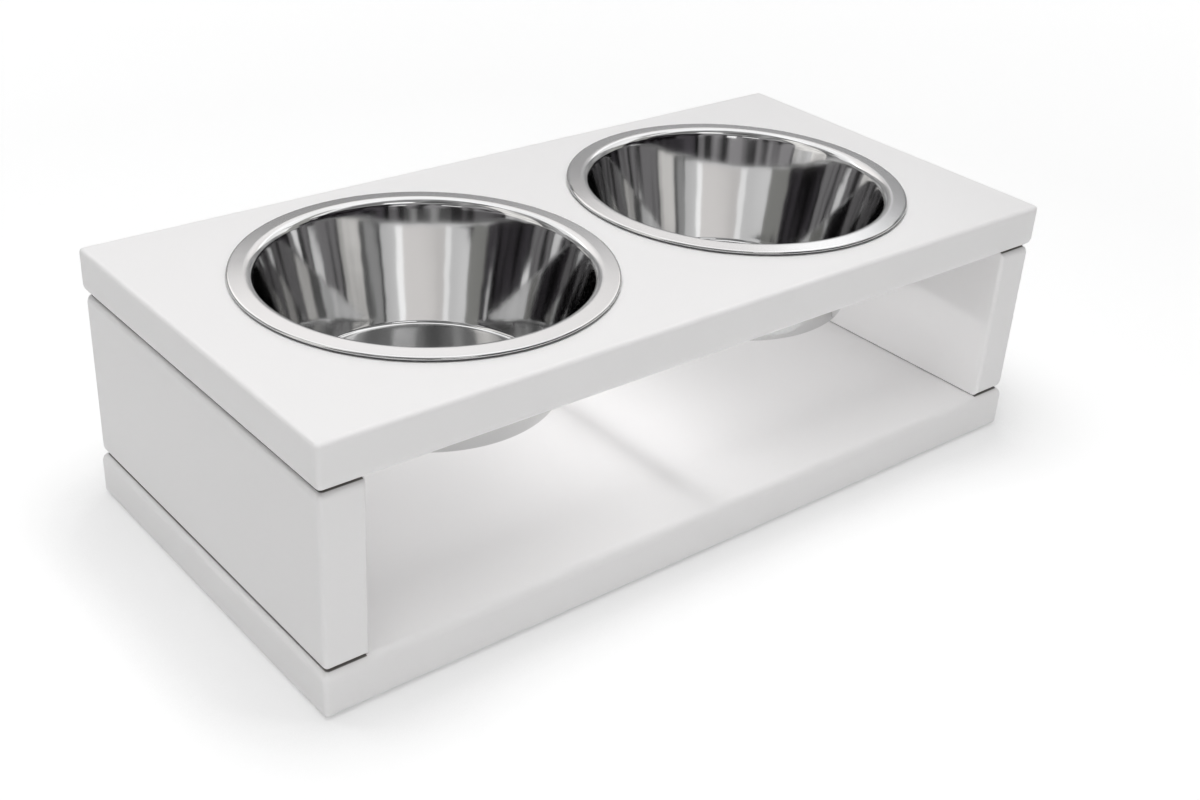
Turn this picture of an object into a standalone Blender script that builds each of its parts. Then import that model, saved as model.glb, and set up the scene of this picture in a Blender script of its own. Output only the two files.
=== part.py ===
"""Raised feeding stand for a dog, with two steel bowls that lift out.

Four lacquered boards make a low box that is open at the front and the back.
The top board has two round holes, and a pressed steel bowl hangs in each by
its flat rim. X runs along the stand, -Y is its front and +Z is up. The origin
is on the floor under the middle of the stand. All sizes are in metres.
"""
import math

import bmesh
import bpy

# Bowls, pressed from one sheet with a hem rolled under the rim
rim_radius = 0.076
flange_width = 0.0065
rim_bead_height = 0.002
hem_width = 0.0035
bowl_height = 0.053
sheet_thickness = 0.0006
rim_bend_radius = 0.0038
base_corner_radius = 0.002
wall_taper = math.radians(13.7)

# Stand, sized round the rims of the bowls
rim_to_rim = 0.014
end_margin = 0.026
side_margin = 0.014
stand_height = 0.113
board_thickness = 0.019
hole_edge_radius = 0.001
bowl_hole_clearance = 0.003

# Board edges, rounded over where boards meet and only eased elsewhere
joint_edge_radius = 0.0035
outer_edge_radius = 0.0018

# Gaps between pieces that meet
joint_line = 0.0003
rim_seat_gap = 0.0003
pad_seat_gap = 0.0002
dowel_clearance = 0.0003
dowel_end_clearance = 0.001
screw_clearance = 0.0003

# Dowels, glued blind between the side panels and the top board
dowel_radius = 0.004
dowel_length = 0.030
dowel_chamfer = 0.001
skin_over_dowel = 0.006

# Countersunk screws, driven up through the bottom board
screw_shank_radius = 0.0025
screw_head_radius = 0.0045
screw_length = 0.050
screw_point_length = 0.005
screw_head_land = 0.0004
screw_head_recess = 0.0003
screw_socket_radius = 0.0017
screw_socket_depth = 0.0018

# Fasteners stand in rows along each joint
fastener_inset = 0.028

# Anti-slip pads under the bottom board
pad_radius = 0.009
pad_thickness = 0.0008
pad_edge_radius = 0.0003
pad_inset = 0.022
pad_to_panel = 0.006

# Facets
bowl_steps = 56
small_steps = 16
arc_step = math.radians(30.0)

# Places that follow from the sizes
stand_length = 4 * rim_radius + rim_to_rim + 2 * end_margin
stand_depth = 2 * rim_radius + 2 * side_margin
bowl_offset = rim_radius + rim_to_rim / 2
base_underside = pad_thickness + pad_seat_gap
base_top = base_underside + board_thickness
top_underside = stand_height - board_thickness
panel_bottom = base_top + joint_line
panel_top = top_underside - joint_line
panel_offset = (stand_length - board_thickness) / 2
fastener_offset = stand_depth / 2 - fastener_inset
pad_offset_x = stand_length / 2 - board_thickness - pad_to_panel - pad_radius
pad_offset_y = stand_depth / 2 - pad_inset
bowl_seat = stand_height + rim_seat_gap
wall_top_radius = rim_radius - flange_width - rim_bend_radius * math.cos(wall_taper)
bowl_hole_radius = wall_top_radius + bowl_hole_clearance
dowel_top = stand_height - skin_over_dowel - dowel_end_clearance
dowel_middle = dowel_top - dowel_length / 2
screw_seat = base_underside + screw_head_recess

sides = (("left", -1), ("right", 1))
rows = (("front", -1), ("middle", 0), ("back", 1))


def clear_scene():
    for old in list(bpy.data.objects):
        bpy.data.objects.remove(old, do_unlink=True)


def new_collection(name):
    collection = bpy.data.collections.new(name)
    bpy.context.scene.collection.children.link(collection)
    return collection


def new_material(name, colour, roughness, metallic=0.0):
    material = bpy.data.materials.new(name)
    material.use_nodes = True
    shader = material.node_tree.nodes["Principled BSDF"]
    shader.inputs["Base Color"].default_value = (*colour, 1.0)
    shader.inputs["Roughness"].default_value = roughness
    shader.inputs["Metallic"].default_value = metallic
    return material


def place(name, mesh, location, collection):
    obj = bpy.data.objects.new(name, mesh)
    obj.location = location
    collection.objects.link(obj)
    return obj


def arc(centre, radius, start, end):
    """Points on an arc in the profile's plane, both ends included."""
    count = max(2, math.ceil(abs(end - start) / arc_step))
    points = []
    for i in range(count + 1):
        angle = start + (end - start) * i / count
        points.append((centre[0] + radius * math.cos(angle), centre[1] + radius * math.sin(angle)))
    return points


def turn(obj, steps):
    """Spin the object's profile round its own Z axis."""
    screw = obj.modifiers.new("turn", "SCREW")
    screw.axis = "Z"
    screw.steps = steps
    screw.render_steps = steps
    screw.use_merge_vertices = True
    screw.merge_threshold = 0.00001
    screw.use_smooth_shade = True


def profile_mesh(name, points):
    """A chain of edges through (radius, height) points."""
    mesh = bpy.data.meshes.new(name)
    outline = bmesh.new()
    verts = [outline.verts.new((radius, 0.0, height)) for radius, height in points]
    for first, second in zip(verts, verts[1:]):
        outline.edges.new((first, second))
    outline.to_mesh(mesh)
    outline.free()
    return mesh


def settle(obj):
    """Make the modifiers' result the object's own mesh, smooth between its real edges."""
    evaluated = obj.evaluated_get(bpy.context.evaluated_depsgraph_get())
    mesh = bpy.data.meshes.new_from_object(evaluated)
    mesh.name = obj.name
    mesh.shade_smooth()
    mesh.set_sharp_from_angle(angle=math.radians(35.0))
    obj.modifiers.clear()
    obj.data = mesh


def cut(obj, cutter):
    boolean = obj.modifiers.new("cut " + cutter.name, "BOOLEAN")
    boolean.operation = "DIFFERENCE"
    boolean.solver = "EXACT"
    boolean.object = cutter


def turned_cutter(name, points, steps, location):
    cutter = place(name, profile_mesh(name, points), location, cutters)
    turn(cutter, steps)
    cutter.hide_render = True
    cutter.display_type = "WIRE"
    return cutter


def make_board(name, size, centre, joint_sides):
    """A board with its edges rounded over on the sides, up or down, that meet other boards."""
    mesh = bpy.data.meshes.new(name)
    block = bmesh.new()
    bmesh.ops.create_cube(block, size=1.0)
    bmesh.ops.scale(block, vec=size, verts=block.verts)
    weight = block.edges.layers.float.new("bevel_weight_edge")
    for edge in block.edges:
        first, second = [vert.co.z for vert in edge.verts]
        meets = any(side * first > 0.0 and side * second > 0.0 for side in joint_sides)
        edge[weight] = 1.0 if meets else outer_edge_radius / joint_edge_radius
    block.to_mesh(mesh)
    block.free()
    board = place(name, mesh, centre, parts)
    board.data.materials.append(lacquer)
    rounding = board.modifiers.new("round over", "BEVEL")
    rounding.width = joint_edge_radius
    rounding.segments = 3
    rounding.limit_method = "WEIGHT"
    return board


def make_boards():
    thickness = board_thickness
    panel_height = panel_top - panel_bottom
    panel_middle = (panel_top + panel_bottom) / 2
    boards = {
        "top": make_board("top_board", (stand_length, stand_depth, thickness),
                          (0.0, 0.0, top_underside + thickness / 2), (-1,)),
        "bottom": make_board("bottom_board", (stand_length, stand_depth, thickness),
                             (0.0, 0.0, base_underside + thickness / 2), (1,)),
    }
    for side, sign in sides:
        boards[side] = make_board(side + "_side_panel", (thickness, stand_depth, panel_height),
                                  (sign * panel_offset, 0.0, panel_middle), (-1, 1))
    return boards


def cut_bowl_holes(top_board):
    """Round holes whose upper and lower edges are eased."""
    radius = bowl_hole_radius
    ease = hole_edge_radius
    wide = radius + ease
    half = board_thickness / 2
    past = half + ease
    profile = [(0.0, past), (wide, past)]
    profile += arc((wide, half - ease), ease, math.pi / 2, math.pi)
    profile += arc((wide, ease - half), ease, math.pi, 3 * math.pi / 2)
    profile += [(wide, -past), (0.0, -past)]
    for side, sign in sides:
        location = (sign * bowl_offset, 0.0, top_underside + half)
        cut(top_board, turned_cutter(side + "_bowl_hole", profile, bowl_steps, location))


def make_dowels(boards):
    """Dowels with chamfered ends, and the blind hole that each one sits in."""
    radius = dowel_radius
    half = dowel_length / 2
    chamfer = dowel_chamfer
    shape = [(0.0, half), (radius - chamfer, half), (radius, half - chamfer),
             (radius, chamfer - half), (radius - chamfer, -half), (0.0, -half)]
    hole_radius = radius + dowel_clearance
    hole_half = half + dowel_end_clearance
    hole = [(0.0, hole_half), (hole_radius, hole_half), (hole_radius, -hole_half), (0.0, -hole_half)]
    shared = None
    for side, sign in sides:
        for row, step in rows:
            location = (sign * panel_offset, step * fastener_offset, dowel_middle)
            name = side + "_dowel_" + row
            cutter = turned_cutter(name + "_hole", hole, small_steps, location)
            cut(boards["top"], cutter)
            cut(boards[side], cutter)
            if shared is None:
                dowel = place(name, profile_mesh(name, shape), location, parts)
                dowel.data.materials.append(beech)
                turn(dowel, small_steps)
                settle(dowel)
                shared = dowel.data
            else:
                place(name, shared, location, parts)


def make_screws(boards):
    """Countersunk screws, point upwards, and the hole that each one is driven into."""
    shank = screw_shank_radius
    head = screw_head_radius
    cone = head - shank
    shape = [(0.0, screw_length), (shank, screw_length - screw_point_length),
             (shank, screw_head_land + cone), (head, screw_head_land), (head, 0.0), (0.0, 0.0)]
    gap = screw_clearance
    below = -screw_head_recess - screw_head_land
    wide = head + gap
    hole = [(0.0, screw_length + gap), (shank + gap, screw_length + gap),
            (shank + gap, screw_head_land + cone), (wide, screw_head_land),
            (wide, below), (0.0, below)]
    socket = place("screw_socket", bpy.data.meshes.new("screw_socket"), (0.0, 0.0, 0.0), cutters)
    prism = bmesh.new()
    bmesh.ops.create_cone(prism, cap_ends=True, segments=6, radius1=screw_socket_radius,
                          radius2=screw_socket_radius, depth=2 * screw_socket_depth)
    prism.to_mesh(socket.data)
    prism.free()
    socket.hide_render = True
    socket.display_type = "WIRE"
    shared = None
    for side, sign in sides:
        for row, step in rows:
            location = (sign * panel_offset, step * fastener_offset, screw_seat)
            name = side + "_screw_" + row
            cutter = turned_cutter(name + "_hole", hole, small_steps, location)
            cut(boards["bottom"], cutter)
            cut(boards[side], cutter)
            if shared is None:
                screw = place(name, profile_mesh(name, shape), location, parts)
                screw.data.materials.append(zinc)
                socket.location = location
                turn(screw, small_steps)
                cut(screw, socket)
                settle(screw)
                shared = screw.data
            else:
                place(name, shared, location, parts)


def make_pads():
    """Thin round pads, eased where they meet the floor."""
    ease = pad_edge_radius
    shape = [(0.0, pad_thickness), (pad_radius, pad_thickness)]
    shape += arc((pad_radius - ease, ease), ease, 0.0, -math.pi / 2)
    shape += [(0.0, 0.0)]
    shared = None
    for side, sign in sides:
        for row, step in (rows[0], rows[2]):
            location = (sign * pad_offset_x, step * pad_offset_y, 0.0)
            name = side + "_pad_" + row
            if shared is None:
                pad = place(name, profile_mesh(name, shape), location, parts)
                pad.data.materials.append(rubber)
                turn(pad, small_steps)
                settle(pad)
                shared = pad.data
            else:
                place(name, shared, location, parts)


def bowl_profile():
    """The sheet's inner face, from the middle of the base up the wall and round the hem."""
    crest = rim_bead_height
    floor = crest - bowl_height + sheet_thickness
    bead = rim_bead_height / 2
    bend = (rim_radius - flange_width, crest - rim_bend_radius)
    wall_top = crest - rim_bend_radius * (1.0 - math.sin(wall_taper))
    wall_foot = floor + base_corner_radius * (1.0 - math.sin(wall_taper))
    foot_radius = wall_top_radius - (wall_top - wall_foot) * math.tan(wall_taper)
    base_radius = foot_radius - base_corner_radius * math.cos(wall_taper)
    points = [(0.0, floor)]
    points += arc((base_radius, floor + base_corner_radius), base_corner_radius,
                  -math.pi / 2, -wall_taper)
    points += arc(bend, rim_bend_radius, math.pi - wall_taper, math.pi / 2)
    points += arc((rim_radius - bead, crest - bead), bead, math.pi / 2, -math.pi / 2)
    points += [(rim_radius - hem_width, 0.0)]
    return points


def make_bowls():
    """Two like bowls, each with its origin on the line that it is lifted along."""
    shared = None
    for side, sign in sides:
        location = (sign * bowl_offset, 0.0, bowl_seat)
        name = side + "_bowl"
        if shared is None:
            bowl = place(name, profile_mesh(name, bowl_profile()), location, parts)
            bowl.data.materials.append(steel)
            turn(bowl, bowl_steps)
            shell = bowl.modifiers.new("sheet", "SOLIDIFY")
            shell.thickness = sheet_thickness
            shell.offset = -1.0
            shell.use_even_offset = True
            settle(bowl)
            shared = bowl.data
        else:
            place(name, shared, location, parts)


def hold_together(boards):
    """Hang every fixed piece on one empty, so that the stand moves as a whole."""
    holder = place("stand_frame", None, (0.0, 0.0, 0.0), parts)
    for obj in parts.objects:
        if obj is not holder and not obj.name.endswith("_bowl"):
            obj.parent = holder
    for board in boards.values():
        settle(board)


clear_scene()
parts = new_collection("dog_bowl_stand")
cutters = new_collection("cutters")
lacquer = new_material("white_lacquered_board", (0.86, 0.85, 0.855), 0.4)
steel = new_material("stainless_steel", (0.62, 0.61, 0.60), 0.16, 1.0)
beech = new_material("beech", (0.60, 0.42, 0.26), 0.6)
zinc = new_material("zinc_plated_steel", (0.55, 0.56, 0.58), 0.35, 1.0)
rubber = new_material("grey_rubber", (0.12, 0.12, 0.12), 0.8)

boards = make_boards()
cut_bowl_holes(boards["top"])
make_dowels(boards)
make_screws(boards)
make_pads()
make_bowls()
hold_together(boards)
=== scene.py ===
import math

import bmesh
import bpy
from mathutils import Matrix, Vector


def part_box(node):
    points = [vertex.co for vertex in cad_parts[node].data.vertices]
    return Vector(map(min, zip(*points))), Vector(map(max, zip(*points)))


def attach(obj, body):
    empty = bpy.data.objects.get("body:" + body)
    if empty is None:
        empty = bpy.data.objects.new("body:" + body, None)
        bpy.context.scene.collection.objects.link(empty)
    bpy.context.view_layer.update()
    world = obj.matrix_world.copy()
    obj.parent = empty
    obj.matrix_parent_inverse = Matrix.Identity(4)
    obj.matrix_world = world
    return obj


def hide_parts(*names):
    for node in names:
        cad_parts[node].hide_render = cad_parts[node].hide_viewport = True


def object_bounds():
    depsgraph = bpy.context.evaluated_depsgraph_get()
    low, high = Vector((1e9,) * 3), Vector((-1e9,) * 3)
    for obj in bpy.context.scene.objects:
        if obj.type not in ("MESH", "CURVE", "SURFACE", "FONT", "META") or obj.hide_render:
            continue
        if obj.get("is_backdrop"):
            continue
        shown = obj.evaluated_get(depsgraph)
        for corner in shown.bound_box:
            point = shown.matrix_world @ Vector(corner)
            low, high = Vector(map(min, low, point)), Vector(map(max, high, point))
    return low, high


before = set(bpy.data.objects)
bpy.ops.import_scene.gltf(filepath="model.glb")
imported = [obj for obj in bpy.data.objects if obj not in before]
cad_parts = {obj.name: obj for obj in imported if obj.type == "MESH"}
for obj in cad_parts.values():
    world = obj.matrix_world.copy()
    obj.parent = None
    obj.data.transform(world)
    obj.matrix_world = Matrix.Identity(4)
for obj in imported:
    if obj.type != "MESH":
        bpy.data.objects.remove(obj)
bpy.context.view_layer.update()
scene = bpy.context.scene
scene.view_settings.view_transform = "Standard"


# Camera
# It stands in front and to the left of the stand, about half a metre up, and looks down at
# both bowls. It was held with a slight roll.
camera_lens_mm = 48.0
camera_place = (-0.4001, -0.4717, 0.3777)
camera_right = Vector((0.77306, -0.63194, 0.05507))
camera_ahead = Vector((0.57218, 0.65720, -0.49061))

camera_ahead.normalize()
camera_up = camera_right.cross(camera_ahead).normalized()
camera_right = camera_ahead.cross(camera_up)
camera = bpy.data.objects.new("camera", bpy.data.cameras.new("camera"))
camera.data.lens = camera_lens_mm
camera.data.sensor_width = 36.0
camera.data.clip_start = 0.01
camera.data.clip_end = 50.0
camera.data.dof.use_dof = False
camera.matrix_world = (Matrix.Translation(camera_place)
                       @ Matrix((camera_right, camera_up, -camera_ahead)).transposed().to_4x4())
scene.collection.objects.link(camera)
scene.camera = camera


# Studio floor
# A sheet of white paper, far wider than the view. Seen directly, it runs out to pure white and
# keeps the stand's soft shadow, partly real and partly painted into its glow, which is deepest within a
# few centimetres of the boards.
floor_reach = 8.0
floor_paper = "#F3F3F3"
floor_seen = "#BCBCBC"
floor_glow = 0.575
shadow_reach = 0.065
shadow_depth = 0.32
openness_dark = 0.73
openness_clear = 0.995
lamps_fade_from = 0.5
lamps_fade_to = 2.2
far_glow = 1.65


def linear(hex_colour):
    """An sRGB hex colour as linear red, green, blue and alpha."""
    values = [int(hex_colour[i:i + 2], 16) / 255.0 for i in (1, 3, 5)]
    return [v / 12.92 if v <= 0.04045 else ((v + 0.055) / 1.055) ** 2.4 for v in values] + [1.0]


def add_node(tree, kind, settings=None, inputs=None, links=None):
    """Add a node, set its properties and inputs, and link its inputs to (node, output) pairs."""
    node = tree.nodes.new(kind)
    for key, value in (settings or {}).items():
        setattr(node, key, value)
    for key, value in (inputs or {}).items():
        node.inputs[key].default_value = value
    for key, (source, output) in (links or {}).items():
        tree.links.new(source.outputs[output], node.inputs[key])
    return node


def new_tree(material):
    """Empty the material's node tree and hand it back."""
    material.use_nodes = True
    material.node_tree.nodes.clear()
    return material.node_tree


def seen_directly(tree):
    """1 for a ray from the camera, a mirror or a glass, 0 for a ray of soft light."""
    rays = add_node(tree, "ShaderNodeLightPath")
    sharp = add_node(tree, "ShaderNodeMath", {"operation": "MAXIMUM"},
                     links={0: (rays, "Is Camera Ray"), 1: (rays, "Is Glossy Ray")})
    return add_node(tree, "ShaderNodeMath", {"operation": "MAXIMUM"},
                    links={0: (sharp, 0), 1: (rays, "Is Transmission Ray")})


def to_object(name, mesh_data, material):
    """Turn mesh data into a linked object that carries the material."""
    mesh = bpy.data.meshes.new(name)
    mesh_data.to_mesh(mesh)
    mesh_data.free()
    mesh.materials.append(material)
    obj = bpy.data.objects.new(name, mesh)
    scene.collection.objects.link(obj)
    return obj


paper = bpy.data.materials.new("white_background_paper")
tree = new_tree(paper)
seen = seen_directly(tree)
matt = add_node(tree, "ShaderNodeBsdfDiffuse", inputs={"Color": linear(floor_paper)})
matt_seen = add_node(tree, "ShaderNodeBsdfDiffuse", inputs={"Color": linear(floor_seen)})
# Near the stand the glow is dimmed by a painted shadow, darkest where the paper is least open to the
# room.
openness = add_node(tree, "ShaderNodeAmbientOcclusion", {"samples": 8}, {"Distance": shadow_reach})
shaded = add_node(tree, "ShaderNodeMapRange", {"interpolation_type": "SMOOTHSTEP"},
                  {"From Min": openness_dark, "From Max": openness_clear,
                   "To Min": floor_glow * (1.0 - shadow_depth), "To Max": floor_glow},
                  {"Value": (openness, "AO")})
# The lamps fade away from the stand, and the paper's own glow makes up for them there.
where = add_node(tree, "ShaderNodeTexCoord")
away = add_node(tree, "ShaderNodeVectorMath", {"operation": "LENGTH"}, links={0: (where, "Object")})
further = add_node(tree, "ShaderNodeMapRange",
                   inputs={"From Min": lamps_fade_from, "From Max": lamps_fade_to,
                           "To Min": 1.0, "To Max": far_glow},
                   links={"Value": (away, "Value")})
strength = add_node(tree, "ShaderNodeMath", {"operation": "MULTIPLY"},
                    links={0: (shaded, 0), 1: (further, 0)})
glow = add_node(tree, "ShaderNodeEmission", inputs={"Color": linear("#FFFFFF")},
                links={"Strength": (strength, 0)})
bright = add_node(tree, "ShaderNodeAddShader", links={0: (matt_seen, 0), 1: (glow, 0)})
either = add_node(tree, "ShaderNodeMixShader", links={0: (seen, 0), 1: (matt, 0), 2: (bright, 0)})
add_node(tree, "ShaderNodeOutputMaterial", links={"Surface": (either, 0)})

flat = bmesh.new()
bmesh.ops.create_grid(flat, x_segments=1, y_segments=1, size=floor_reach)
to_object("studio_floor", flat, paper)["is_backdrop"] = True


# Studio light
# Soft light from all round, wide lamps overhead and in front, and a faint fill between the
# boards. No lamp shows in the bowls: what the steel mirrors is the room in the next section.
world_light = 0.24
stand_middle = Vector((0.0, 0.0, 0.06))
lamps = [
    # name, place, width and depth, power in watts
    ("top_lamp", (-0.24, 0.0, 1.8), (1.6, 1.6), 25.6),
    ("front_lamp", (-0.62, -1.6, 0.45), (1.0, 1.0), 4.9),
    ("fill_between_boards", (0.0, 0.0, 0.0615), (0.32, 0.17), 0.072),
    ("fill_to_left", (0.001, 0.0, 0.06), (0.15, 0.05), 0.026),
    ("fill_to_right", (-0.001, 0.0, 0.06), (0.15, 0.05), 0.032),
]

world = bpy.data.worlds.new("studio")
scene.world = world
world.use_nodes = True
tree = world.node_tree
tree.nodes.clear()
seen = seen_directly(tree)
strength = add_node(tree, "ShaderNodeMapRange", inputs={"To Min": world_light, "To Max": 1.0},
                    links={"Value": (seen, 0)})
air = add_node(tree, "ShaderNodeBackground", inputs={"Color": linear("#FFFFFF")},
               links={"Strength": (strength, 0)})
add_node(tree, "ShaderNodeOutputWorld", links={"Surface": (air, 0)})

for name, place, size, power in lamps:
    lamp = bpy.data.objects.new(name, bpy.data.lights.new(name, "AREA"))
    lamp.data.shape = "RECTANGLE"
    lamp.data.size, lamp.data.size_y = size
    lamp.data.energy = power
    lamp.location = place
    lamp.rotation_euler = (stand_middle - Vector(place)).to_track_quat("-Z", "Y").to_euler()
    lamp.visible_camera = False
    lamp.visible_glossy = False
    scene.collection.objects.link(lamp)


# The room that the bowls mirror
# A bright roof, a white tent of three upright sheets behind the stand, a pale wall to the left
# and a dim room on the camera's side. Only mirrored rays meet it: it lights no board.
room_radius = 3.0
room_spacing = 0.02
room_step = math.radians(3.0)
room_merge = 0.0001
room_parts = [
    # from, to (degrees round Z), low, high (degrees above the floor), tint, strength, clutter
    ("dim_room", -180, 180, -20, 90, "#F8F4F8", 0.09, 0.7),
    ("roof", -45, 135, 38, 90, "#FFFFFF", 1.50, 0.1),
    ("wall_behind_camera", 135, 315, 7, 90, "#FBF8FB", 0.20, 0.8),
    ("roof_over_camera", 135, 315, 30, 90, "#FFFFFF", 0.38, 0.4),
    ("dark_beam", -155, -122, 46, 60, "#FFFFFF", 0.20, 0.5),
    ("shelves", -142, -110, 1, 7, "#FFFFFF", 0.34, 0.7),
    ("far_floor", -16, 124, -20, 26, "#FFFFFF", 0.42, 0.25),
    ("right_card", -30, -12, 0, 62, "#FAFAF5", 0.46, 0.2),
    ("left_gap", 125, 151, 0, 62, "#FFFFFF", 0.38, 0.5),
    ("left_wall", 151, 180, 0, 62, "#FFFDFA", 1.05, 0.25),
    ("left_wall_foot", 164, 180, 0, 8, "#FFFFFF", 0.65, 0.3),
    ("high_lamp", -116, -92, 43, 53, "#FFFFFF", 2.0, 0.0),
    ("lamp_behind_camera", -149, -136, 14, 21, "#FFFFFF", 1.3, 0.0),
    ("right_gap", -100, -34, 0, 38, "#EEE6F2", 0.05, 0.95),
    ("right_glint", -44, -40, 24, 28, "#FFFFFF", 1.2, 0.0),
]
clutter_size = 0.55
clutter_dark = 0.40
clutter_bright = 0.60
card_end = Vector((0.316, -0.249))
tent_right_end = Vector((0.267, -0.054))
tent_right_corner = Vector((0.544, 0.266))
tent_left_corner = Vector((-0.144, 0.699))
tent_left_end = Vector((-0.355, 0.455))
tent_seam = 0.075
tent_clutter = 0.1
tent_low = math.tan(math.radians(23.0))
tent_high = math.tan(math.radians(41.0))
eye_height = 0.10


def glowing(name, tint, strength, clutter):
    """A surface that shines unevenly, as the things that stand about in a room do."""
    lit = bpy.data.materials.new(name)
    tree = new_tree(lit)
    where = add_node(tree, "ShaderNodeTexCoord")
    things = add_node(tree, "ShaderNodeTexNoise",
                      inputs={"Scale": 1.0 / clutter_size, "Detail": 1.0},
                      links={"Vector": (where, "Object")})
    uneven = add_node(tree, "ShaderNodeMapRange",
                      inputs={"From Min": clutter_dark, "From Max": clutter_bright,
                              "To Min": strength * (1.0 - clutter),
                              "To Max": strength * (1.0 + clutter)},
                      links={"Value": (things, "Fac")})
    glow = add_node(tree, "ShaderNodeEmission", inputs={"Color": linear(tint)},
                    links={"Strength": (uneven, 0)})
    add_node(tree, "ShaderNodeOutputMaterial", links={"Surface": (glow, 0)})
    return lit


def only_mirrored(obj):
    """Hide a part of the room from the camera and the soft light, so that only steel shows it."""
    obj.visible_camera = False
    obj.visible_diffuse = False
    obj.visible_shadow = False
    obj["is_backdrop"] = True


for number, (name, start, end, low, high, tint, strength, clutter) in enumerate(room_parts):
    away = room_radius - room_spacing * number
    start, end, low, high = (math.radians(v) for v in (start, end, low, high))
    rows = max(1, math.ceil((high - low) / room_step))
    wall = bmesh.new()
    climb = [low + (high - low) * i / rows for i in range(rows + 1)]
    line = [wall.verts.new((away * math.cos(a) * math.cos(start),
                            away * math.cos(a) * math.sin(start), away * math.sin(a))) for a in climb]
    edges = [wall.edges.new(pair) for pair in zip(line, line[1:])]
    bmesh.ops.spin(wall, geom=line + edges, cent=(0.0, 0.0, 0.0), axis=(0.0, 0.0, 1.0),
                   angle=end - start, steps=math.ceil((end - start) / room_step))
    bmesh.ops.remove_doubles(wall, verts=wall.verts, dist=room_merge)
    only_mirrored(to_object("room_" + name, wall, glowing(name, tint, strength, clutter)))

to_right = (tent_right_end - tent_right_corner).normalized() * tent_seam
along_back = (tent_left_corner - tent_right_corner).normalized() * tent_seam
to_left = (tent_left_end - tent_left_corner).normalized() * tent_seam
tent_sheets = [
    ("near_card", card_end, tent_right_end, "#FAFAF5", 0.46),
    ("right_sheet", tent_right_end, tent_right_corner + to_right, "#FFFFFF", 1.35),
    ("right_seam", tent_right_corner + to_right, tent_right_corner, "#FFFFFF", 2.0),
    ("right_seam_back", tent_right_corner, tent_right_corner + along_back, "#FFFFFF", 2.0),
    ("back_sheet", tent_right_corner + along_back, tent_left_corner - along_back, "#FFFCFA", 1.35),
    ("left_seam_back", tent_left_corner - along_back, tent_left_corner, "#FFFFFF", 2.0),
    ("left_seam", tent_left_corner, tent_left_corner + to_left, "#FFFFFF", 2.0),
    ("left_sheet", tent_left_corner + to_left, tent_left_end, "#FFFFFF", 1.25),
]
for name, start, end, tint, strength in tent_sheets:
    cloth = bmesh.new()
    corners = [(*foot, eye_height + slope * foot.length)
               for foot, slope in ((start, tent_low), (end, tent_low),
                                   (end, tent_high), (start, tent_high))]
    cloth.faces.new([cloth.verts.new(corner) for corner in corners])
    only_mirrored(to_object("room_" + name, cloth, glowing(name, tint, strength, tent_clutter)))

# A small white thing hangs close in front of the left bowl, so each bowl mirrors it elsewhere.
near_thing = [(-0.131, -0.319, 0.184), (-0.191, -0.305, 0.184), (-0.191, -0.305, 0.216),
              (-0.131, -0.319, 0.216)]
near_thing_strength = 1.6
card = bmesh.new()
card.faces.new([card.verts.new(corner) for corner in near_thing])
only_mirrored(to_object("room_near_thing", card,
                        glowing("near_thing", "#FFFFFF", near_thing_strength, tent_clutter)))


# Boards
# Four boards of fibreboard, sprayed with white satin lacquer and joined flush. Their edges are
# rounded over where two boards meet, which leaves a fine groove, and only eased elsewhere.
joint_rounding = 0.0035
outer_rounding = 0.0018
rounding_steps = 7
hole_rounding = 0.001
hole_arc_step = 0.3
bowl_hole_radius = 0.0688
bowl_hole_steps = 192
bowl_middle = 0.083
joint_gap = 0.0003
inner_rounding = 0.0005
panel_set_back = 0.0007
# How wide the painted shade lines are at the lower and upper joints, and how softly they fade.
groove_shade_widths = (0.00042, 0.0007)
groove_shade_fade = 0.00015
merge_distance = 0.000002
nearly = 0.0001
sharp_angle = math.radians(40.0)
peel_width = 0.00125
lacquer_white = "#EFEEEE"
lacquer_cloud = "#EDECEC"
# The colour of the painted shade in the joint grooves.
groove_shade_colour = "#6E6A67"

boards = {
    "top_board": (-1,),
    "bottom_board": (1,),
    "left_side_panel": (-1, 1),
    "right_side_panel": (-1, 1),
}
panel_low, panel_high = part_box("right_side_panel")
joint_planes = [panel_low.z - joint_gap / 2, panel_high.z + joint_gap / 2]
panel_inner_face = panel_low.x

lacquer = bpy.data.materials.new("white_satin_lacquer_on_fibreboard")
tree = new_tree(lacquer)
where = add_node(tree, "ShaderNodeTexCoord")
# The sprayed film has a faint orange peel about 1.2 mm across, and its gloss varies with it.
peel = add_node(tree, "ShaderNodeTexNoise", inputs={"Scale": 1.0 / peel_width, "Detail": 2.0},
                links={"Vector": (where, "Object")})
bump = add_node(tree, "ShaderNodeBump", inputs={"Strength": 0.15, "Distance": 0.00005},
                links={"Height": (peel, "Fac")})
sheen = add_node(tree, "ShaderNodeMapRange", inputs={"To Min": 0.36, "To Max": 0.46},
                 links={"Value": (peel, "Fac")})
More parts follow.
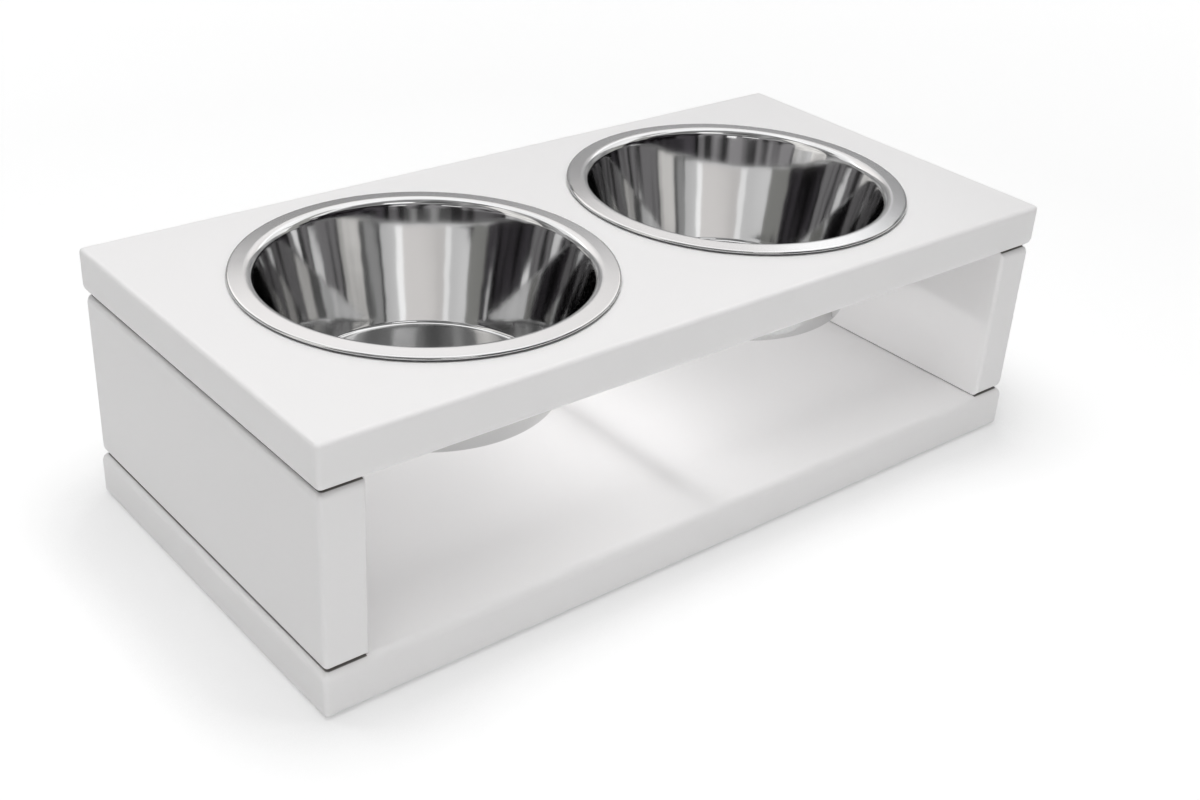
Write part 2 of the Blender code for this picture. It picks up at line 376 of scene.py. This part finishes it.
# A thin dark line of painted shade runs along each outer joint and stands for the shade deep in the
# groove. The panels' inner faces are left white.
height = add_node(tree, "ShaderNodeSeparateXYZ", links={"Vector": (where, "Object")})
sideways = add_node(tree, "ShaderNodeMath", {"operation": "ABSOLUTE"}, links={0: (height, "X")})
inside = add_node(tree, "ShaderNodeMath", {"operation": "LESS_THAN"},
                  {1: panel_inner_face + 1.2 * inner_rounding}, {0: (sideways, 0)})
levels = []
for plane, width in zip(joint_planes, groove_shade_widths):
    above = add_node(tree, "ShaderNodeMath", {"operation": "SUBTRACT"}, {1: plane},
                     {0: (height, "Z")})
    away = add_node(tree, "ShaderNodeMath", {"operation": "ABSOLUTE"}, links={0: (above, 0)})
    levels.append(add_node(tree, "ShaderNodeMapRange",
                           inputs={"From Min": width, "From Max": width + groove_shade_fade},
                           links={"Value": (away, 0)}))
outside_groove_shade = add_node(tree, "ShaderNodeMath", {"operation": "MINIMUM"},
                           links={0: (levels[0], 0), 1: (levels[1], 0)})
free_of_groove_shade = add_node(tree, "ShaderNodeMath", {"operation": "MAXIMUM"},
                   links={0: (outside_groove_shade, 0), 1: (inside, 0)})
# Very faint clouds some 70 mm wide lie in the white, as on any sprayed board.
clouds = add_node(tree, "ShaderNodeTexNoise", inputs={"Scale": 14.0, "Detail": 1.0},
                  links={"Vector": (where, "Object")})
white = add_node(tree, "ShaderNodeMix", {"data_type": "RGBA"},
                 {"A": linear(lacquer_cloud), "B": linear(lacquer_white)}, {0: (clouds, "Fac")})
colour = add_node(tree, "ShaderNodeMix", {"data_type": "RGBA"}, {"A": linear(groove_shade_colour)},
                  {0: (free_of_groove_shade, 0), "B": (white, "Result")})
paint = add_node(tree, "ShaderNodeBsdfPrincipled", inputs={"IOR": 1.5},
                 links={"Base Color": (colour, "Result"), "Roughness": (sheen, 0), "Normal": (bump, 0)})
add_node(tree, "ShaderNodeOutputMaterial", links={"Surface": (paint, 0)})


def arc(centre, radius, start, end, step):
    """Points on an arc in a profile's plane, both ends included."""
    count = max(2, math.ceil(abs(end - start) / step))
    angles = [start + (end - start) * i / count for i in range(count + 1)]
    return [(centre[0] + radius * math.cos(a), centre[1] + radius * math.sin(a)) for a in angles]


def turn(solid, line, x, y, steps):
    """Spin a chain of (radius, height) points round the upright line through x and y."""
    verts = [solid.verts.new((x + radius, y, height)) for radius, height in line]
    edges = [solid.edges.new(pair) for pair in zip(verts, verts[1:])]
    bmesh.ops.spin(solid, geom=verts + edges, cent=(x, y, 0.0), axis=(0.0, 0.0, 1.0),
                   angle=2 * math.pi, steps=steps, use_merge=True)


def close(solid):
    """Merge the points that meet, and turn every face outwards."""
    bmesh.ops.remove_doubles(solid, verts=solid.verts, dist=merge_distance)
    bmesh.ops.recalc_face_normals(solid, faces=solid.faces)


def rounded_block(low, high, meets):
    """A block marked for rounding where it meets a board above (1) or below (-1).

    A panel's inner edges are hardly rounded, so that it closes tightly against the board."""
    block = bmesh.new()
    bmesh.ops.create_cube(block, size=1.0)
    bmesh.ops.scale(block, vec=high - low, verts=block.verts)
    bmesh.ops.translate(block, vec=(low + high) / 2, verts=block.verts)
    weight = block.edges.layers.float.new("bevel_weight_edge")
    middle = (low.z + high.z) / 2
    for edge in block.edges:
        first, second = [vert.co.z - middle for vert in edge.verts]
        joined = any(side * first > 0.0 and side * second > 0.0 for side in meets)
        inner = all(abs(abs(vert.co.x) - panel_inner_face) < nearly for vert in edge.verts)
        radius = joint_rounding if joined else outer_rounding
        edge[weight] = (inner_rounding if joined and inner else radius) / joint_rounding
    return block


def bowl_hole(low, high):
    """The line of a bowl hole's cutter, which eases the hole's upper and lower edges."""
    wide = bowl_hole_radius + hole_rounding
    past = 2 * hole_rounding
    line = [(0.0, high + past), (wide, high + past)]
    line += arc((wide, high - hole_rounding), hole_rounding, math.pi / 2, math.pi, hole_arc_step)
    line += arc((wide, low + hole_rounding), hole_rounding, math.pi, 3 * math.pi / 2, hole_arc_step)
    return line + [(wide, low - past), (0.0, low - past)]


def cut_out(rough, cutter):
    """Cut a closed solid out of a rough object, and hand back the mesh that is left."""
    close(cutter)
    tool = to_object(rough.name + "_cutter", cutter, rough.data.materials[0])
    cut = rough.modifiers.new("cut", "BOOLEAN")
    cut.operation = "DIFFERENCE"
    cut.object = tool
    graph = bpy.context.evaluated_depsgraph_get()
    mesh = bpy.data.meshes.new_from_object(rough.evaluated_get(graph))
    bpy.data.objects.remove(rough)
    bpy.data.objects.remove(tool)
    return mesh


def smooth_but_sharp(mesh):
    """Shade the mesh smooth, except across its hard edges."""
    mesh.shade_smooth()
    mesh.set_sharp_from_angle(angle=sharp_angle)


def finish_board(name, block, cutter):
    """Round the block over, cut its holes and give it its lacquer."""
    rough = to_object(name + "_rough", block, lacquer)
    rounding = rough.modifiers.new("round over", "BEVEL")
    rounding.width = joint_rounding
    rounding.segments = rounding_steps
    rounding.limit_method = "WEIGHT"
    mesh = cut_out(rough, cutter)
    smooth_but_sharp(mesh)
    mesh.name = name + "_lacquered"
    board = bpy.data.objects.new(name + "_lacquered", mesh)
    scene.collection.objects.link(board)
    level = board.modifiers.new("even normals", "WEIGHTED_NORMAL")
    level.keep_sharp = True
    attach(board, "stand")
    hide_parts(name)


# Screws come up through the bottom board, and dowels stand half in each panel and half in the
# top board. Each has a hole a little wider than itself.
fastener_gap = 0.0003
fastener_steps = 48
cutter_past = 0.002
screw_head_edge = 0.0004
screw_head_radius = 0.0045
screw_shank_radius = 0.0025
dowel_radius = 0.004
dowel_end_gap = 0.001
screws = [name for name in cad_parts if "_screw_" in name]
dowels = [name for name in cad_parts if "_dowel_" in name]


def screw_hole(low, high):
    """The line of a countersunk hole's cutter, open below."""
    wide = screw_head_radius + fastener_gap
    narrow = screw_shank_radius + fastener_gap
    land = low + screw_head_edge
    return [(0.0, high + fastener_gap), (narrow, high + fastener_gap),
            (narrow, land + wide - narrow), (wide, land), (wide, low - cutter_past),
            (0.0, low - cutter_past)]


def dowel_hole(low, high):
    """The line of a blind hole's cutter, a little longer than its dowel."""
    wide = dowel_radius + fastener_gap
    return [(0.0, high + dowel_end_gap), (wide, high + dowel_end_gap), (wide, low - dowel_end_gap),
            (0.0, low - dowel_end_gap)]


for name, meets in boards.items():
    low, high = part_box(name)
    cutter = bmesh.new()
    if name == "top_board":
        for side in (-1, 1):
            turn(cutter, bowl_hole(low.z, high.z), side * bowl_middle, 0.0, bowl_hole_steps)
    for names, hole in ((screws, screw_hole), (dowels, dowel_hole)):
        for fastener in names:
            foot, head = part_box(fastener)
            x, y = (foot.x + head.x) / 2, (foot.y + head.y) / 2
            beside = x < low.x or x > high.x
            if not beside and foot.z < high.z and head.z > low.z:
                turn(cutter, hole(foot.z, head.z), x, y, fastener_steps)
    if "panel" in name:
        # Each panel's outer faces stand a little behind the edges of the boards that it joins.
        outward = math.copysign(panel_set_back, low.x)
        low += Vector((-outward if low.x < 0.0 else 0.0, panel_set_back, 0.0))
        high -= Vector((outward if high.x > 0.0 else 0.0, panel_set_back, 0.0))
    finish_board(name, rounded_block(low, high, meets), cutter)


# Dowels
# Six fluted beech dowels, three to a side, glued blind, half in each side panel and half in the
# top board. Their ends are chamfered so that they start easily.
dowel_chamfer = 0.001
dowel_flutes = 20
flute_depth = 0.0003
fibre_width = 0.0004
fibres_per_metre = 120.0

beech = bpy.data.materials.new("raw_beech")
tree = new_tree(beech)
where = add_node(tree, "ShaderNodeTexCoord")
# The fibres run along the dowel, about 0.4 mm wide and some 8 mm long.
along = add_node(tree, "ShaderNodeMapping",
                 inputs={"Scale": (1.0 / fibre_width, 1.0 / fibre_width, fibres_per_metre)},
                 links={"Vector": (where, "Object")})
fibres = add_node(tree, "ShaderNodeTexNoise", inputs={"Scale": 1.0, "Detail": 3.0},
                  links={"Vector": (along, 0)})
wood = add_node(tree, "ShaderNodeMix", {"data_type": "RGBA"},
                {"A": linear("#BF9463"), "B": linear("#E3C49B")}, {0: (fibres, "Fac")})
bump = add_node(tree, "ShaderNodeBump", inputs={"Strength": 0.4, "Distance": 0.00005},
                links={"Height": (fibres, "Fac")})
raw_wood = add_node(tree, "ShaderNodeBsdfPrincipled", inputs={"Roughness": 0.7, "IOR": 1.5},
                    links={"Base Color": (wood, "Result"), "Normal": (bump, 0)})
add_node(tree, "ShaderNodeOutputMaterial", links={"Surface": (raw_wood, 0)})

for name in dowels:
    low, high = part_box(name)
    x, y = (low.x + high.x) / 2, (low.y + high.y) / 2
    end = dowel_radius - dowel_chamfer
    rod = bmesh.new()
    turn(rod, [(0.0, low.z), (end, low.z), (dowel_radius, low.z + dowel_chamfer),
               (dowel_radius, high.z - dowel_chamfer), (end, high.z), (0.0, high.z)],
         x, y, 2 * dowel_flutes)
    close(rod)
    for vert in rod.verts:
        away = Vector((vert.co.x - x, vert.co.y - y))
        flute = round(math.atan2(away.y, away.x) / (math.pi / dowel_flutes))
        if away.length > dowel_radius - nearly and flute % 2:
            vert.co.xy -= away.normalized() * flute_depth
    dowel = to_object(name + "_fluted", rod, beech)
    smooth_but_sharp(dowel.data)
    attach(dowel, "stand")
    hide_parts(name)


# Screws
# Six countersunk steel screws, zinc plated, driven up through the bottom board into the side
# panels, three to a side. Each has a hexagon socket in its head and a coarse rolled thread.
plain_shank = 0.012
thread_shoulder = 0.0008
socket_radius = 0.0017
socket_depth = 0.0018
socket_turn = Matrix.Rotation(math.pi / fastener_steps, 4, "Z")
thread_core = 0.0017
thread_pitch = 0.0022
thread_half_width = 0.0005
thread_sink = 0.0001
thread_steps = 20
tip_length = 0.004

zinc = bpy.data.materials.new("zinc_plated_steel")
tree = new_tree(zinc)
where = add_node(tree, "ShaderNodeTexCoord")
# Plating has cloudy patches about 1 mm across, a little bluer and duller than the rest.
patches = add_node(tree, "ShaderNodeTexNoise", inputs={"Scale": 900.0, "Detail": 2.0},
                   links={"Vector": (where, "Object")})
plating = add_node(tree, "ShaderNodeMix", {"data_type": "RGBA"},
                   {"A": linear("#C9CDD2"), "B": linear("#AEB6C0")}, {0: (patches, "Fac")})
dullness = add_node(tree, "ShaderNodeMapRange", inputs={"To Min": 0.25, "To Max": 0.42},
                    links={"Value": (patches, "Fac")})
plated = add_node(tree, "ShaderNodeBsdfPrincipled", inputs={"Metallic": 1.0},
                  links={"Base Color": (plating, "Result"), "Roughness": (dullness, 0)})
add_node(tree, "ShaderNodeOutputMaterial", links={"Surface": (plated, 0)})

for name in screws:
    low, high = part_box(name)
    x, y = (low.x + high.x) / 2, (low.y + high.y) / 2
    neck = low.z + screw_head_edge + screw_head_radius - screw_shank_radius
    core = bmesh.new()
    turn(core, [(0.0, low.z), (screw_head_radius, low.z), (screw_head_radius, low.z + screw_head_edge),
                (screw_shank_radius, neck), (screw_shank_radius, low.z + plain_shank),
                (thread_core, low.z + plain_shank + thread_shoulder),
                (thread_core, high.z - tip_length), (0.0, high.z)], x, y, fastener_steps)
    close(core)
    socket = bmesh.new()
    bmesh.ops.create_cone(socket, cap_ends=True, segments=6, radius1=socket_radius,
                          radius2=socket_radius, depth=2 * socket_depth,
                          matrix=Matrix.Translation((x, y, low.z)) @ socket_turn)
    shank = cut_out(to_object(name + "_rough", core, zinc), socket)

    start = low.z + plain_shank + thread_half_width
    turns = math.floor((high.z - tip_length - start) / thread_pitch)
    thread = bmesh.new()
    ridge = [(thread_core - thread_sink, -thread_half_width), (screw_shank_radius, 0.0),
             (thread_core - thread_sink, thread_half_width)]
    end = thread.faces.new([thread.verts.new((x + radius, y, start + rise)) for radius, rise in ridge])
    bmesh.ops.spin(thread, geom=list(end.verts) + list(end.edges) + [end], cent=(x, y, 0.0),
                   axis=(0.0, 0.0, 1.0), dvec=(0.0, 0.0, thread_pitch / thread_steps),
                   angle=2 * math.pi * turns, steps=turns * thread_steps)
    close(thread)
    thread.from_mesh(shank)
    bpy.data.meshes.remove(shank)
    screw = to_object(name + "_threaded", thread, zinc)
    smooth_but_sharp(screw.data)
    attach(screw, "stand")
    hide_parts(name)


# Pads
# Four thin round pads of grey rubber, stuck under the bottom board near its corners so that the
# stand doesn't slide. Each is moulded with a shallow ring in its underside.
pad_edge = 0.0002
pad_steps = 64
pad_arc_step = 0.4
pad_ring = 0.0066
ring_half_width = 0.0004
ring_depth = 0.0002
grain_width = 0.0005

rubber = bpy.data.materials.new("moulded_grey_rubber")
tree = new_tree(rubber)
where = add_node(tree, "ShaderNodeTexCoord")
# The mould leaves a fine grain of about 0.5 mm.
grain = add_node(tree, "ShaderNodeTexNoise", inputs={"Scale": 1.0 / grain_width, "Detail": 2.0},
                 links={"Vector": (where, "Object")})
bump = add_node(tree, "ShaderNodeBump", inputs={"Strength": 0.5, "Distance": 0.00004},
                links={"Height": (grain, "Fac")})
grey = add_node(tree, "ShaderNodeMix", {"data_type": "RGBA"},
                {"A": linear("#565658"), "B": linear("#67676A")}, {0: (grain, "Fac")})
soft = add_node(tree, "ShaderNodeBsdfPrincipled", inputs={"Roughness": 0.75, "IOR": 1.52},
                links={"Base Color": (grey, "Result"), "Normal": (bump, 0)})
add_node(tree, "ShaderNodeOutputMaterial", links={"Surface": (soft, 0)})

for name in [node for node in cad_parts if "_pad_" in node]:
    low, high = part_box(name)
    x, y, radius = (low.x + high.x) / 2, (low.y + high.y) / 2, (high.x - low.x) / 2
    line = [(0.0, high.z), (radius, high.z)]
    line += arc((radius - pad_edge, low.z + pad_edge), pad_edge, 0.0, -math.pi / 2, pad_arc_step)
    line += [(pad_ring + ring_half_width, low.z),
             (pad_ring + ring_half_width / 2, low.z + ring_depth),
             (pad_ring - ring_half_width / 2, low.z + ring_depth),
             (pad_ring - ring_half_width, low.z), (0.0, low.z)]
    disc = bmesh.new()
    turn(disc, line, x, y, pad_steps)
    close(disc)
    pad = to_object(name + "_moulded", disc, rubber)
    smooth_but_sharp(pad.data)
    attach(pad, "stand")
    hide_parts(name)


# Bowls
# Pressed and polished stainless steel, with a flat rim whose edge is rolled under. Each hangs in
# its hole by the rim and lifts straight out.
rim_radius = 0.076
flange_width = 0.0065
bead_height = 0.002
bead_top_edge = 0.0008
bead_low_edge = 0.00075
hem_width = 0.0035
flange_fall = math.radians(4.0)
rim_bend = 0.0038
base_corner = 0.002
wall_taper = math.radians(13.7)
sheet_thickness = 0.0006
bowl_steps = 200
bowl_arc_step = math.radians(5.0)
bead_arc_step = 0.25
base_step = 0.004
wall_step = 0.0015
flange_step = 0.0005

polished_colour = "#CFCFCF"
satin_colour = "#CBCBCC"
mirror_roughness = 0.07
base_roughness = 0.22
satin_roughness = 0.24
# The painted shadow under the rolled rim: its colour and the height over which it fades.
rim_shadow_colour = "#4C4C4E"
rim_shadow_height = 0.0005
base_edge = (0.050, 0.053)
satin_start = (0.0662, 0.0688)
satin_end = (0.0748, 0.0753)
# The radii where the painted shadow under the rim begins.
rim_shadow_radii = (0.0735, 0.0740)


def by_radius(tree, radius, radii, start, end):
    """A value that changes from start to end between two radii."""
    return add_node(tree, "ShaderNodeMapRange",
                    inputs={"From Min": radii[0], "From Max": radii[1], "To Min": start, "To Max": end},
                    links={"Value": (radius, "Value")})


def polished_steel(name, middle, rim_underside):
    """Steel with a mirror polish on its wall and bead, and a satin flange and base."""
    steel = bpy.data.materials.new(name)
    tree = new_tree(steel)
    where = add_node(tree, "ShaderNodeTexCoord")
    outward = add_node(tree, "ShaderNodeMapping",
                       inputs={"Location": (-middle, 0.0, 0.0), "Scale": (1.0, 1.0, 0.0)},
                       links={"Vector": (where, "Object")})
    radius = add_node(tree, "ShaderNodeVectorMath", {"operation": "LENGTH"}, links={0: (outward, 0)})
    inside = by_radius(tree, radius, base_edge, base_roughness, mirror_roughness)
    bend = by_radius(tree, radius, satin_start, 0.0, 1.0)
    edge = by_radius(tree, radius, satin_end, 1.0, 0.0)
    satin = add_node(tree, "ShaderNodeMath", {"operation": "MULTIPLY"},
                     links={0: (bend, 0), 1: (edge, 0)})
    finish = add_node(tree, "ShaderNodeMix", {"data_type": "FLOAT"}, {"B": satin_roughness},
                      {0: (satin, 0), "A": (inside, 0)})
    colour = add_node(tree, "ShaderNodeMix", {"data_type": "RGBA"},
                      {"A": linear(polished_colour), "B": linear(satin_colour)}, {0: (satin, 0)})
    # Under the bead, the lowest half millimetre of the rolled edge carries a painted shadow: a dark
    # line where the rim sits on the board.
    height = add_node(tree, "ShaderNodeSeparateXYZ", links={"Vector": (where, "Object")})
    low = add_node(tree, "ShaderNodeMapRange",
                   inputs={"From Min": rim_underside + rim_shadow_height,
                           "From Max": rim_underside + 1.5 * rim_shadow_height, "To Min": 1.0, "To Max": 0.0},
                   links={"Value": (height, "Z")})
    outer = by_radius(tree, radius, rim_shadow_radii, 0.0, 1.0)
    rim_shadow = add_node(tree, "ShaderNodeMath", {"operation": "MULTIPLY"},
                   links={0: (low, 0), 1: (outer, 0)})
    colour = add_node(tree, "ShaderNodeMix", {"data_type": "RGBA"}, {"B": linear(rim_shadow_colour)},
                      {0: (rim_shadow, 0), "A": (colour, "Result")})
    # The pressed wall is never quite true: shallow waves about 14 mm apart.
    waves = add_node(tree, "ShaderNodeTexNoise", inputs={"Scale": 70.0, "Detail": 1.0},
                     links={"Vector": (where, "Object")})
    bump = add_node(tree, "ShaderNodeBump", inputs={"Strength": 1.0, "Distance": 0.00005},
                    links={"Height": (waves, "Fac")})
    polished = add_node(tree, "ShaderNodeBsdfPrincipled", inputs={"Metallic": 1.0},
                        links={"Base Color": (colour, "Result"), "Roughness": (finish, "Result"),
                               "Normal": (bump, 0)})
    add_node(tree, "ShaderNodeOutputMaterial", links={"Surface": (polished, 0)})
    return steel


def between(first, last, step):
    """Points along a straight run, its ends left out."""
    count = max(1, math.ceil(math.dist(first, last) / step))
    return [(first[0] + (last[0] - first[0]) * i / count,
             first[1] + (last[1] - first[1]) * i / count) for i in range(1, count)]


def bowl_line(floor, crest):
    """The sheet's inner face, from the middle of the base up the wall and round the hem."""
    bend_middle = (rim_radius - flange_width, crest - rim_bend)
    bend = arc(bend_middle, rim_bend, math.pi - wall_taper, math.pi / 2 - flange_fall, bowl_arc_step)
    wall_top = bend[0]
    foot_height = floor + base_corner * (1.0 - math.sin(wall_taper))
    foot = (wall_top[0] - (wall_top[1] - foot_height) * math.tan(wall_taper), foot_height)
    corner_middle = (foot[0] - base_corner * math.cos(wall_taper), floor + base_corner)
    corner = arc(corner_middle, base_corner, -math.pi / 2, -wall_taper, bowl_arc_step)
    fall = (flange_width - bead_top_edge) * math.tan(flange_fall)
    bead = arc((rim_radius - bead_top_edge, crest - fall - bead_top_edge), bead_top_edge,
               math.pi / 2 - flange_fall, 0.0, bead_arc_step)
    bead += arc((rim_radius - bead_low_edge, crest - bead_height + bead_low_edge), bead_low_edge,
                0.0, -math.pi / 2, bead_arc_step)
    centre = (0.0, floor)
    line = [centre] + between(centre, corner[0], base_step) + corner
    line += between(corner[-1], bend[0], wall_step) + bend
    line += between(bend[-1], bead[0], flange_step) + bead
    return line + [(rim_radius - hem_width, crest - bead_height)]


for side, sign in (("left", -1), ("right", 1)):
    name = side + "_bowl"
    low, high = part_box(name)
    middle = sign * bowl_middle
    steel = polished_steel("polished_stainless_steel_" + side, middle, high.z - bead_height)
    turned = bmesh.new()
    turn(turned, bowl_line(low.z + sheet_thickness, high.z), middle, 0.0, bowl_steps)
    close(turned)
    bowl = to_object(name + "_pressed", turned, steel)
    bowl.data.shade_smooth()
    sheet = bowl.modifiers.new("sheet", "SOLIDIFY")
    sheet.thickness = sheet_thickness
    sheet.offset = -1.0
    sheet.use_even_offset = True
    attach(bowl, name)
    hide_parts(name)


# Sizes
# The finished model's box.
low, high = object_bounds()
